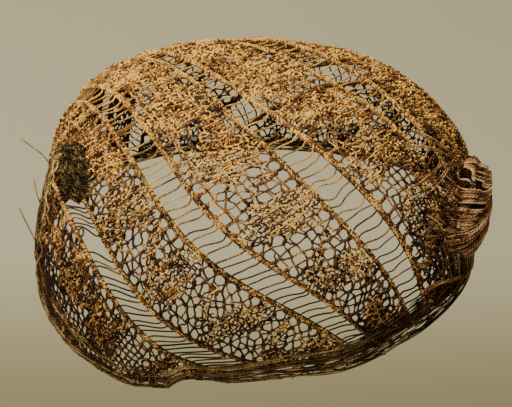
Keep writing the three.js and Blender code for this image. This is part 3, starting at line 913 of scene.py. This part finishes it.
def string_open_net(start, end, ends_lift, cell, area_a, area_b, paired):
    """Single threads from joint to joint, which bow into the smaller of their two cells.
    Between the squares a second and a third thread run beside them."""
    steps = np.linspace(0, 1, 4)
    count = len(start)
    normal = np.stack([-(end - start)[:, 1], (end - start)[:, 0]], 1)
    away = np.sign((cell * normal).sum(1) - (start * normal).sum(1))
    bulge = -away * (area_a - area_b) / (area_a + area_b) * 0.07 + chance.normal(0, 0.05, count)
    path = start[:, None] + (end - start)[:, None] * steps[:, None]
    path = path + normal[:, None] * (bulge[:, None] * 4 * steps * (1 - steps) / 2)[..., None]
    wave = chance.normal(0, 0.05, (count, 1)) * np.sin(2 * math.pi * steps)
    path = path + normal[:, None] * wave[..., None]
    lift = ends_lift[:, :1] * (1 - steps) + ends_lift[:, 1:] * steps
    lift = lift + chance.normal(0, 0.2, (count, 1)) * np.sin(steps * math.pi)
    points, _ = net_points(path[..., 0], path[..., 1], lift)
    short = np.linalg.norm(end - start, axis=1) < CROSSING
    radius = THREAD * np.where(short, 1.4, 1.0) * chance.uniform(0.9, 1.15, count)
    radius = radius[:, None] * (1 + 0.45 * np.abs(2 * steps - 1) ** 5)
    tone = chance.uniform(*OPEN_RANGE, (count, 1)) + bleach_and_painted_light(points, OPEN_BLEACH_AND_LIGHT)
    share_out(open_net, points[~short], radius[~short], tone[~short])
    share_out(open_net, points[short][:, ::3], radius[short][:, ::3], tone[short][:, ::3])
    unit = normal[paired] / np.linalg.norm(normal[paired], axis=1, keepdims=True)
    for shift in (-0.45, 0.45):
        beside = path[paired] + unit[:, None] * shift
        points, _ = net_points(beside[..., 0], beside[..., 1], lift[paired])
        share_out(open_net, points, radius[paired] * 0.9, tone[paired] + shift * 0.3)


def stitch_close_work(start, end, cell_a, cell_b):
    """One short thick stitch for each side of a close-worked cell, over threads that run
    on from cell to cell below."""
    half = (end - start) / 2
    half = half * np.where(np.abs(half[:, 1]) > np.abs(half[:, 0]), 1.35, 1.0)[:, None]
    swing = chance.normal(0, 0.16, len(half))
    half = np.stack([half[:, 0] - swing * half[:, 1], half[:, 1] + swing * half[:, 0]], 1)
    size = np.linalg.norm(half, axis=1, keepdims=True)
    half = half / np.maximum(size, 1e-6) * np.clip(size, 0.5, 2.1)
    share = np.array([-1.0, 0.0, 1.0])
    path = ((start + end) / 2)[:, None] + half[:, None] * share[:, None]
    lift = np.array(CLOSE_LIFT) + chance.normal(0, 0.42, (len(half), 1))
    points, _ = net_points(path[..., 0], path[..., 1], lift)
    radius = np.array(CLOSE_RADIUS) * chance.uniform(0.8, 1.15, (len(half), 1))
    share_out(close_net, points, radius, chance.uniform(*CLOSE_RANGE, (len(half), 1)))

    run = cell_b - cell_a
    lengthwise = (np.abs(run[:, 0]) > np.abs(run[:, 1])) & (np.hypot(run[:, 0], run[:, 1]) < 4)
    lengthwise &= chance.random(len(run)) < 0.55
    ends = np.stack([cell_a[lengthwise], cell_b[lengthwise]], 1)
    lift = -1.65 + chance.normal(0, 0.15, (len(ends), 1)) * np.ones(2)
    points, _ = net_points(ends[..., 0], ends[..., 1], lift)
    even = np.ones((len(ends), 1))
    # The threads below lie deep, which darkens them as painted shade in the gaps.
    share_out(close_net, points, 0.5 * even, 0.25 * even, 0.7)


def lay_row_threads(zone, last):
    """Row threads, which run on through the close work from cord to cord."""
    far_cord = (last - zone) * BAND_PITCH - CORD_EDGE
    row = np.arange(-ROW_SPAN, ROW_SPAN, ROW_THREAD_STEP)
    offset = np.arange(CORD_EDGE, far_cord - 4, ROW_THREAD_REACH * 0.8)
    row, offset = (grid.ravel() for grid in np.meshgrid(row, offset))
    row = row + chance.normal(0, 0.4, len(row))
    offset = offset + chance.uniform(-3, 3, len(offset))
    share = np.linspace(0, 1, 5)
    length = ROW_THREAD_REACH * chance.uniform(0.6, 1.25, (len(row), 1))
    lanes = zone + (offset[:, None] + length * share) / BAND_PITCH
    along = row[:, None] + band_value(lanes, "lean") * BAND_PITCH
    along = along + chance.normal(0, 0.45, along.shape)
    across = flat_across(lanes, along)
    closeness = close_share(lanes[:, 2], along[:, 2], across[:, 2])
    wanted = closeness * chance.normal(1, 0.12, len(row)) > 1.05
    wanted &= (offset + length[:, 0] < far_cord + 1) & (offset > CORD_EDGE - 1)
    points, to_edge = net_points(along, across, chance.normal(-0.55, 0.3, (len(row), 1)) + 0 * share)
    wanted &= to_edge.min(axis=1) > -1
    wanted &= chance.random(len(row)) < 0.4 + 0.4 * hump(np.hypot(along[:, 2], across[:, 2]), 85)
    tone = chance.uniform(*ROW_RANGE, (len(row), 1))
    for name, chosen in by_place(points):
        chosen = chosen & wanted
        radius = ROW_THREAD_RADIUS * chance.uniform(0.8, 1.15, (chosen.sum(), 1))
        close_net[name].add(points[chosen], radius, tone[chosen])


open_net = {place: ThreadStock() for place in ("front", "middle", "back")}
close_net = {place: ThreadStock() for place in ("front", "middle", "back")}
for zone, last, inner in ZONES:
    seeds, areas, kinds = lay_cells(zone, last, inner)
    joints, threads, pair = net_cells(seeds, areas, kinds == FIXED)
    kind_a, kind_b = kinds[pair[:, 0]], kinds[pair[:, 1]]
    start, end = joints[threads[:, 0]], joints[threads[:, 1]]
    length = np.linalg.norm(end - start, axis=1)
    to_edge = crown_place((start[:, 0] + end[:, 0]) / 2, (start[:, 1] + end[:, 1]) / 2)[2]
    real = ((kind_a > FIXED) | (kind_b > FIXED)) & (length < LONGEST_THREAD) & (to_edge > -1.0)
    packed = (kind_a == CLOSE) & (kind_b == CLOSE)
    joint_lift = chance.normal(-1.0, 0.22, len(joints))
    pick = real & ~packed
    cell_a, cell_b = pair[pick, 0], pair[pick, 1]
    paired = (kind_a[pick] == SQUARE) & (kind_b[pick] == SQUARE)
    ends_lift = joint_lift[threads[pick]]
    string_open_net(
        start[pick], end[pick], ends_lift, seeds[cell_a], areas[cell_a], areas[cell_b], paired)
    pick = real & packed
    stitch_close_work(start[pick], end[pick], seeds[pair[pick, 0]], seeds[pair[pick, 1]])
    lay_row_threads(zone, last)
for place in open_net:
    spin("open_net_" + place, open_net[place], net_thread, "crown_net", sides=4)
    spin("close_work_" + place, close_net[place], close_thread, "crown_net", sides=4)

# Rolled edge
# The threads of the net's end are drawn round the opening in a dark, packed roll of 26
# strands that wind along it. Frayed ends stand off it, and more strands are drawn along
# the net just above it.
EDGE_TONES = [(0.0, "#170E04"), (0.35, "#493418"), (0.6, "#7A5E32"), (0.85, "#A4864C"), (1.0, "#CBA86C")]
edge_thread = thread_finish("dark_rolled_edge_thread", EDGE_TONES, 0.09)
ROLL_STRANDS, FRAYED_ENDS, DRAWN_STRANDS, DRAWN_LEFT = 26, 300, 110, 40
ROLL_TURNS, ROLL_RADIUS, FRAYED_RADIUS = 3, 0.36, 0.30
# Degrees of azimuth to a mm of the edge.
EDGE_TURN = 57.3 / 100
# How far up the strands above the roll reach, in mm.
EDGE_REACH = {
    "azimuth": (-180, -165, -150, -120, -95, -70, -45, -20, 0, 40, 140, 180),
    "mm": (28, 22, 14, 8, 5, 8, 12, 11, 8, 5, 6, 28),
}
roll = ThreadStock()
azimuth = np.linspace(-180, 180, 260)
for strand in range(ROLL_STRANDS):
    angle = 2 * math.pi * strand / ROLL_STRANDS + np.radians(azimuth) * ROLL_TURNS
    angle = angle + 0.5 * np.sin(np.radians(azimuth) * (7 + strand % 5) + strand * 2.3)
    slack = 1 + 0.16 * np.sin(np.radians(azimuth) * (11 + strand % 3) + strand * 1.7)
    rise = 0.5 - 0.5 * np.cos(angle) * slack
    down = down_above_end(azimuth, roll_height(azimuth) * rise)
    off = np.sin(angle) * (ROLL_THICKNESS / 2 - 0.5) * slack - NET_WALL / 2
    points = off_crown(azimuth, down, off)
    spare = 1 - 0.3 * hump(wrap_degrees(azimuth - 90), 75) - 0.45 * hump(wrap_degrees(azimuth + 130), 30)
    radius = spare * (ROLL_RADIUS + 0.06 * np.sin(np.radians(azimuth) * 23 + strand))
    # Where the roll is thinner its threads are painted lighter; at the back this is painted light on the
    # roll's inside, which lies in shade.
    tone = 0.1 + 0.11 * (strand % 6) + 0.4 * (1 - spare) + 0.2 * np.sin(np.radians(azimuth) * 13 + strand * 3)
    roll.add(points[None], radius, tone)
# Frayed ends off the roll.
count = FRAYED_ENDS
azimuth = np.where(chance.random(count) < 0.75, chance.uniform(-180, 0, count), chance.uniform(0, 180, count))
angle = chance.uniform(0, 2 * math.pi, count)
share = np.array([-1, 0, 1])
half = chance.uniform(0.9, 2.2, count)
step_azimuth = azimuth[:, None] + share * (half * EDGE_TURN)[:, None]
rise = (1 - np.cos(angle))[:, None] / 2 + share * chance.normal(0, 0.10, (count, 1))
down = down_above_end(step_azimuth, roll_height(step_azimuth) * np.clip(rise, -0.02, 1.02))
off = np.sin(angle)[:, None] * (ROLL_THICKNESS / 2 - 0.3) - NET_WALL / 2
off = off + chance.uniform(-0.1, 0.2, (count, 1))
roll.add(off_crown(step_azimuth, down, off), FRAYED_RADIUS, chance.uniform(0.0, 0.8, (count, 1)))
# Strands along the net above the roll.
count = DRAWN_STRANDS
share = np.linspace(-1, 1, 33)
middle = np.where(chance.random(count) < 0.80, chance.uniform(-95, 5, count), chance.uniform(0, 180, count))
middle[:DRAWN_LEFT] = chance.uniform(-190, -95, DRAWN_LEFT)
half = np.where(
    np.arange(count) < DRAWN_LEFT, chance.uniform(7, 18, count), chance.uniform(9, 30, count))
azimuth = middle[:, None] + half[:, None] * share
level = chance.uniform(0, 1, (count, 1))
wave = 0.06 * np.sin(share * 6 + chance.uniform(0, 6, (count, 1)))
wave = wave + 0.10 * chance.normal(0, 1, (count, 1)) * share
level = np.clip(level + wave, 0, 1.1)
reach = np.interp(wrap_degrees(azimuth), EDGE_REACH["azimuth"], EDGE_REACH["mm"])
above = roll_height(azimuth) * 0.8 + level * reach
points = off_crown(azimuth, down_above_end(azimuth, above), chance.uniform(-1.6, 0.1, (count, 1)) + 0 * share)
radius = ROLL_RADIUS * chance.uniform(0.85, 1.2, (count, 1)) * (1 - 0.5 * share ** 8)
roll.add(points, radius, chance.uniform(0.05, 0.85, (count, 1)))
spin("rolled_edge", roll, edge_thread, "rim_roll", sides=4)

# Left gather
# The net's end is drawn into a small dark knot of packed thread, wound with its own
# short strands, which cross each other two ways over a rounded pad.
DARK_TONES = [(0.0, "#140D04"), (0.35, "#3C2C16"), (0.6, "#68522C"), (0.85, "#987A48"), (1.0, "#C09E64")]
dark_thread = thread_finish("dark_packed_thread", DARK_TONES, 0.0)
KNOT_STRANDS = 700
# Gathered pads on the crown: their middle in azimuth and down, half their size as turn
# and drop, their swing in degrees, thickness in mm, and number and depth of ribs.
KNOT = {
    "azimuth": 203, "down": 0.5, "turn": 12, "drop": 0.075, "swing": 2,
    "thick": 4.2, "ribs": 3, "depth": 0.08,
}
SHEAF = {
    "azimuth": 350, "down": 0.8, "turn": 20, "drop": 0.135, "swing": -7,
    "thick": 11.5, "ribs": 6, "depth": 0.12,
}
FAN = {
    "azimuth": 321.5, "down": 0.815, "turn": 4.6, "drop": 0.045, "swing": -1,
    "thick": 3, "ribs": 4, "depth": 0.14,
}


def pad_points(pad, x, y, lift):
    """Places on a gathered pad: x and y run from -1 to 1 over it, lift stands off it."""
    z = np.sqrt(np.clip(1 - x ** 2 - y ** 2, 0, 1))
    height = z * pad["thick"] * (1 - pad["depth"] * (1 + np.cos(y * pad["ribs"] * math.pi)))
    azimuth = pad["azimuth"] + x * pad["turn"] - y * pad["swing"]
    down = pad["down"] - y * pad["drop"]
    return off_crown(azimuth, down, height + lift)


knot = ThreadStock()
count = KNOT_STRANDS
radial = np.sqrt(chance.uniform(0, 1, count)) * 1.06
bearing = chance.uniform(0, 2 * math.pi, count)
turn = np.where(chance.random(count) < 0.5, 0.35, 2.79) + chance.normal(0, 0.2, count)
share = np.linspace(-1, 1, 4)
half = chance.uniform(0.05, 0.10, count)
bend = chance.normal(0, 0.10, (count, 1)) * (1 - share ** 2)
cos_turn, sin_turn = np.cos(turn)[:, None], np.sin(turn)[:, None]
x = (radial * np.cos(bearing))[:, None] + half[:, None] * (cos_turn * share - sin_turn * bend)
y = (radial * np.sin(bearing))[:, None] + half[:, None] * (sin_turn * share + cos_turn * bend)
points = pad_points(KNOT, x, y, chance.uniform(-2.0, 0.2, (count, 1)) + 0.2 * (1 - share ** 2))
knot.add(points, chance.uniform(0.32, 0.46, (count, 1)), chance.uniform(-0.25, 0.55, (count, 1)))
spin("left_knot", knot, dark_thread, "left_gather", sides=4)

# Left strands
# Two loose plaits of drawn strands run down the left wall with a slit between them, and
# three single broken ends stand out. Routes give azimuth and place down the crown.
PLAIT_STRANDS = 24
PLAIT_ROUTES = [
    [(183, 0.56), (184, 0.64), (185.5, 0.72), (188, 0.80), (190, 0.87), (193, 0.93)],
    [(188, 0.58), (191, 0.65), (196.5, 0.70), (200.5, 0.74), (200, 0.82), (198, 0.92)],
]
# Loose ends: azimuth, down and distance off the wall in mm, from the root to the tip.
LOOSE_ENDS = [
    [
        (186, 0.735, 0.2), (184, 0.70, 0.4), (182.5, 0.665, 0.8),
        (182, 0.635, 5), (181.5, 0.615, 12), (181, 0.60, 18),
    ],
    [(189, 0.80, 0.3), (188.5, 0.785, 1.5), (188, 0.765, 3.5), (187, 0.735, 5.5), (186.5, 0.715, 6.5)],
    [(193, 0.905, 0.3), (192, 0.885, 2), (191, 0.86, 5), (190, 0.835, 8), (189, 0.815, 10.5)],
]
strands = ThreadStock()
share = np.linspace(0, 1, 40)
for strand in range(PLAIT_STRANDS):
    azimuth, down = through(PLAIT_ROUTES[strand % 2], 40, rounds=0)
    turn = share * 15 + strand // 2 % 3 * 2 * math.pi / 3 + strand % 2
    azimuth = azimuth + 1.3 * np.sin(turn)
    azimuth = azimuth + (strand // 6 - 1.5) * 0.9 + 0.5 * np.sin(share * 21 + strand)
    down = down + 0.004 * math.sin(strand * 2.1)
    points = off_crown(azimuth, down, 0.1 + 0.9 * np.cos(turn * 2) + 0.3 * math.sin(strand * 1.7))
    strands.add(points[None], 0.38, 0.25 + 0.13 * (strand % 5))
for route in LOOSE_ENDS:
    points = off_crown(*through(route, 25, rounds=4))
    strands.add(points[None], 0.36 - 0.12 * np.linspace(0, 1, 25) ** 3, 0.6)
spin("left_strands", strands, edge_thread, "left_edge_strands", sides=6)

# Right gather
# The other end is drawn into a thick sheaf of threads, combed into ribs that fan out over
# a mass of thread whose dark tone is painted shade between the ribs. The net beside it is drawn close and
# runs into its knot.
SHEAF_TONES = [(0.0, "#160A04"), (0.3, "#4A2C16"), (0.55, "#845A34"), (0.8, "#BA8A54"), (1.0, "#E6C08A")]
sheaf_thread = thread_finish("drawn_sheaf_thread", SHEAF_TONES, 0.05)
MASS_THREADS, CLOSE_THREADS = 130, 330
# Ribs of light threads, in shares of the pad both ways from its middle. The columns are
# x and y of the start, of the middle, and of the end at the crest, and the threads.
RIBS = [
    (-0.29, 0.95, -0.10, 0.78, 0.13, 0.22, 5),
    (-0.30, 0.94, -0.26, 0.70, 0.00, 0.21, 3),
    (-0.32, 0.93, -0.35, 0.68, -0.08, 0.20, 2),
    (-0.34, 0.92, -0.40, 0.66, -0.16, 0.20, 2),
    (-0.56, 1.04, -0.55, 0.86, -0.52, 0.67, 2),
    (-0.83, 1.00, -0.65, 0.64, -0.31, 0.20, 3),
    (-0.85, 0.85, -0.70, 0.58, -0.38, 0.18, 3),
    (-1.00, 0.86, -0.73, 0.48, -0.43, 0.15, 3),
    (-1.13, 0.90, -0.81, 0.34, -0.39, -0.08, 3),
    (-1.25, 0.70, -0.88, 0.24, -0.48, -0.07, 2),
    (-1.10, 0.36, -0.84, 0.15, -0.55, -0.07, 3),
    (-1.35, 0.50, -0.95, 0.10, -0.58, -0.09, 3),
    (-1.25, 0.25, -0.94, -0.02, -0.64, -0.12, 2),
    (-1.40, 0.27, -1.00, -0.11, -0.71, -0.15, 3),
    (-1.30, 0.00, -0.97, -0.25, -0.70, -0.25, 2),
    (-1.15, -0.25, -0.86, -0.42, -0.64, -0.42, 4),
    (-1.10, -0.45, -0.86, -0.58, -0.60, -0.58, 3),
    (-0.95, -0.70, -0.75, -0.75, -0.45, -0.75, 3),
]
# Threads drawn from the net into the knot: azimuth and down from the knot outwards.
DRAWN = [
    [(350.5, 0.672), (342, 0.572), (333, 0.545), (322, 0.515)],
    [(350.5, 0.676), (344, 0.605), (337, 0.600), (324, 0.575)],
    [(350.5, 0.672), (347, 0.560), (344, 0.490), (340, 0.430)],
    [(351.0, 0.672), (350, 0.580), (350, 0.500), (349, 0.430)],
    [(351.5, 0.672), (355, 0.600), (357, 0.530), (358, 0.450)],
]
sheaf = ThreadStock()
for number, (start_x, start_y, middle_x, middle_y, end_x, end_y, threads) in enumerate(RIBS):
    stops = [(start_x, start_y), (middle_x, middle_y), (end_x, end_y)]
    if end_y < 0.6:
        stops.append((0.90, end_y - 0.45 + 0.02 * number))
    x, y = through(stops, 29)
    share = np.linspace(0, 1, 29)
    for strand in range(threads):
        spread = (strand - (threads - 1) / 2) * 0.045
        rise = y + spread * np.minimum(1, 5 * share) * (1 - 0.5 * share)
        rise = rise + 0.006 * np.sin(share * 17 + strand * 2)
        lift = 0.45 + 0.25 * math.sin(strand * 2.2 + number) + 0.2 * np.sin(share * 9 + strand)
        tone = 0.42 + 0.13 * ((strand * 3 + number) % 4)
        sheaf.add(pad_points(SHEAF, x, rise, lift)[None], 0.42 + 0.05 * math.sin(strand * 5.0), tone)
# The mass of threads under the ribs, toned and laid deep so that it is dark, as painted shade between them.
share = np.linspace(0, 1, 12)
count = MASS_THREADS
level = chance.uniform(-0.95, 0.60, count)[:, None]
x = -1.0 + chance.uniform(-0.1, 0.4, (count, 1)) + share * (1.9 - 1.3 * np.clip(level + 0.2, 0, 1))
y = level + (0.35 * level - level) * np.clip((x + 1) / 1.4, 0, 1)
y = y + chance.normal(0, 0.04, (count, 1)) * np.sin(share * math.pi)
reach = np.maximum(np.hypot(x, y), 1)
high = 3.5 * np.clip(y, 0, 1) * np.clip(x + 0.3, 0, 1)
points = pad_points(SHEAF, x / reach, y / reach, chance.uniform(-2.6, -1.0, (count, 1)) - high)
sheaf.add(points, 0.45, chance.uniform(-0.1, 0.35, (count, 1)), 0.3)
# Net drawn close where it runs into the sheaf.
count = CLOSE_THREADS
x = chance.uniform(-1.75, -0.72, count)
y = chance.uniform(-0.15, 1.1, count)
share = np.linspace(-1, 1, 4)
half = chance.uniform(0.04, 0.15, (count, 1))
slope = -1.2 + chance.normal(0, 0.7, (count, 1))
x = x[:, None] + half * share
y = y[:, None] + half * share * slope + 0.02 * (1 - share ** 2)
lift = chance.uniform(-1.6, 0.3, (count, 1)) + 0.4 * (1 - share ** 2)
sheaf.add(pad_points(SHEAF, x, y, lift), 0.42, chance.uniform(0.0, 0.75, (count, 1)))
for route in DRAWN:
    azimuth, down = through(route, 25)
    share = np.linspace(0, 1, 25)
    for strand in (0, 2):
        fan_out = (strand - 1) * share * 1.3
        points = off_crown(
            azimuth + 0.9 * fan_out + 0.3 * np.sin(share * 9 + strand), down + 0.008 * fan_out,
            0.2 + 2.2 * (1 - share) ** 2)
        sheaf.add(points[None], 0.33, 0.35 + 0.12 * strand)
spin("right_sheaf", sheaf, sheaf_thread, "right_gather", sides=5)

# Gather fan
# Below the sheaf lies a small flat fan of straight dark threads, side by side, and
# between it and the edge thirty more run down aslant, close to the wall.
FAN_THREADS, SLANT_THREADS = 7, 30
fan = ThreadStock()
for strand in range(FAN_THREADS):
    x = -0.95 + 1.9 * strand / (FAN_THREADS - 1)
    y = np.linspace(-1, 1, 13)
    points = pad_points(FAN, np.full(13, x) * (1 + 0.15 * y), y * 0.98, 0.1 * math.sin(strand * 3.3))
    fan.add(points[None], 0.42, 0.35 + 0.08 * (strand % 6))
for strand in range(SLANT_THREADS):
    side = strand / (SLANT_THREADS - 1)
    foot = 322 + 17 * side
    azimuth = np.linspace(foot - 1.5 + 3 * side, foot, 13) + chance.normal(0, 0.25)
    down = np.linspace(0.80 + 0.13 * side, 0.90 + 0.09 * side, 13)
    lift = 2.4 - np.linspace(0, 1.6, 13) + chance.normal(0, 0.3)
    fan.add(off_crown(azimuth, down, lift)[None], 0.38 - 0.10 * (side > 0.5), 0.40 + 0.10 * (strand % 6))
spin("gather_fan_threads", fan, dark_thread, "gather_fan", sides=6)

# Sheaf tie
# A bundle of three thick strands, laid round each other, is drawn along the edge below
# the fan. The route gives azimuth and place down the crown.
TIE_ROUTE = [(314, 0.868), (319.5, 0.877), (324, 0.908), (330, 0.950), (336, 0.975), (341, 0.968)]
tie = ThreadStock()
share = np.linspace(0, 1, 30)
for strand in range(3):
    twist = share * 14 + strand * 2.1
    azimuth, down = through(TIE_ROUTE, 30, rounds=0)
    points = off_crown(azimuth, down + 0.0045 * np.cos(twist), 1.3 + 0.5 * np.sin(twist))
    tie.add(points[None], 0.5, 0.55 + 0.1 * strand)
spin("sheaf_tie", tie, sheaf_thread, "gather_tie", sides=6)

low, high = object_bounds()
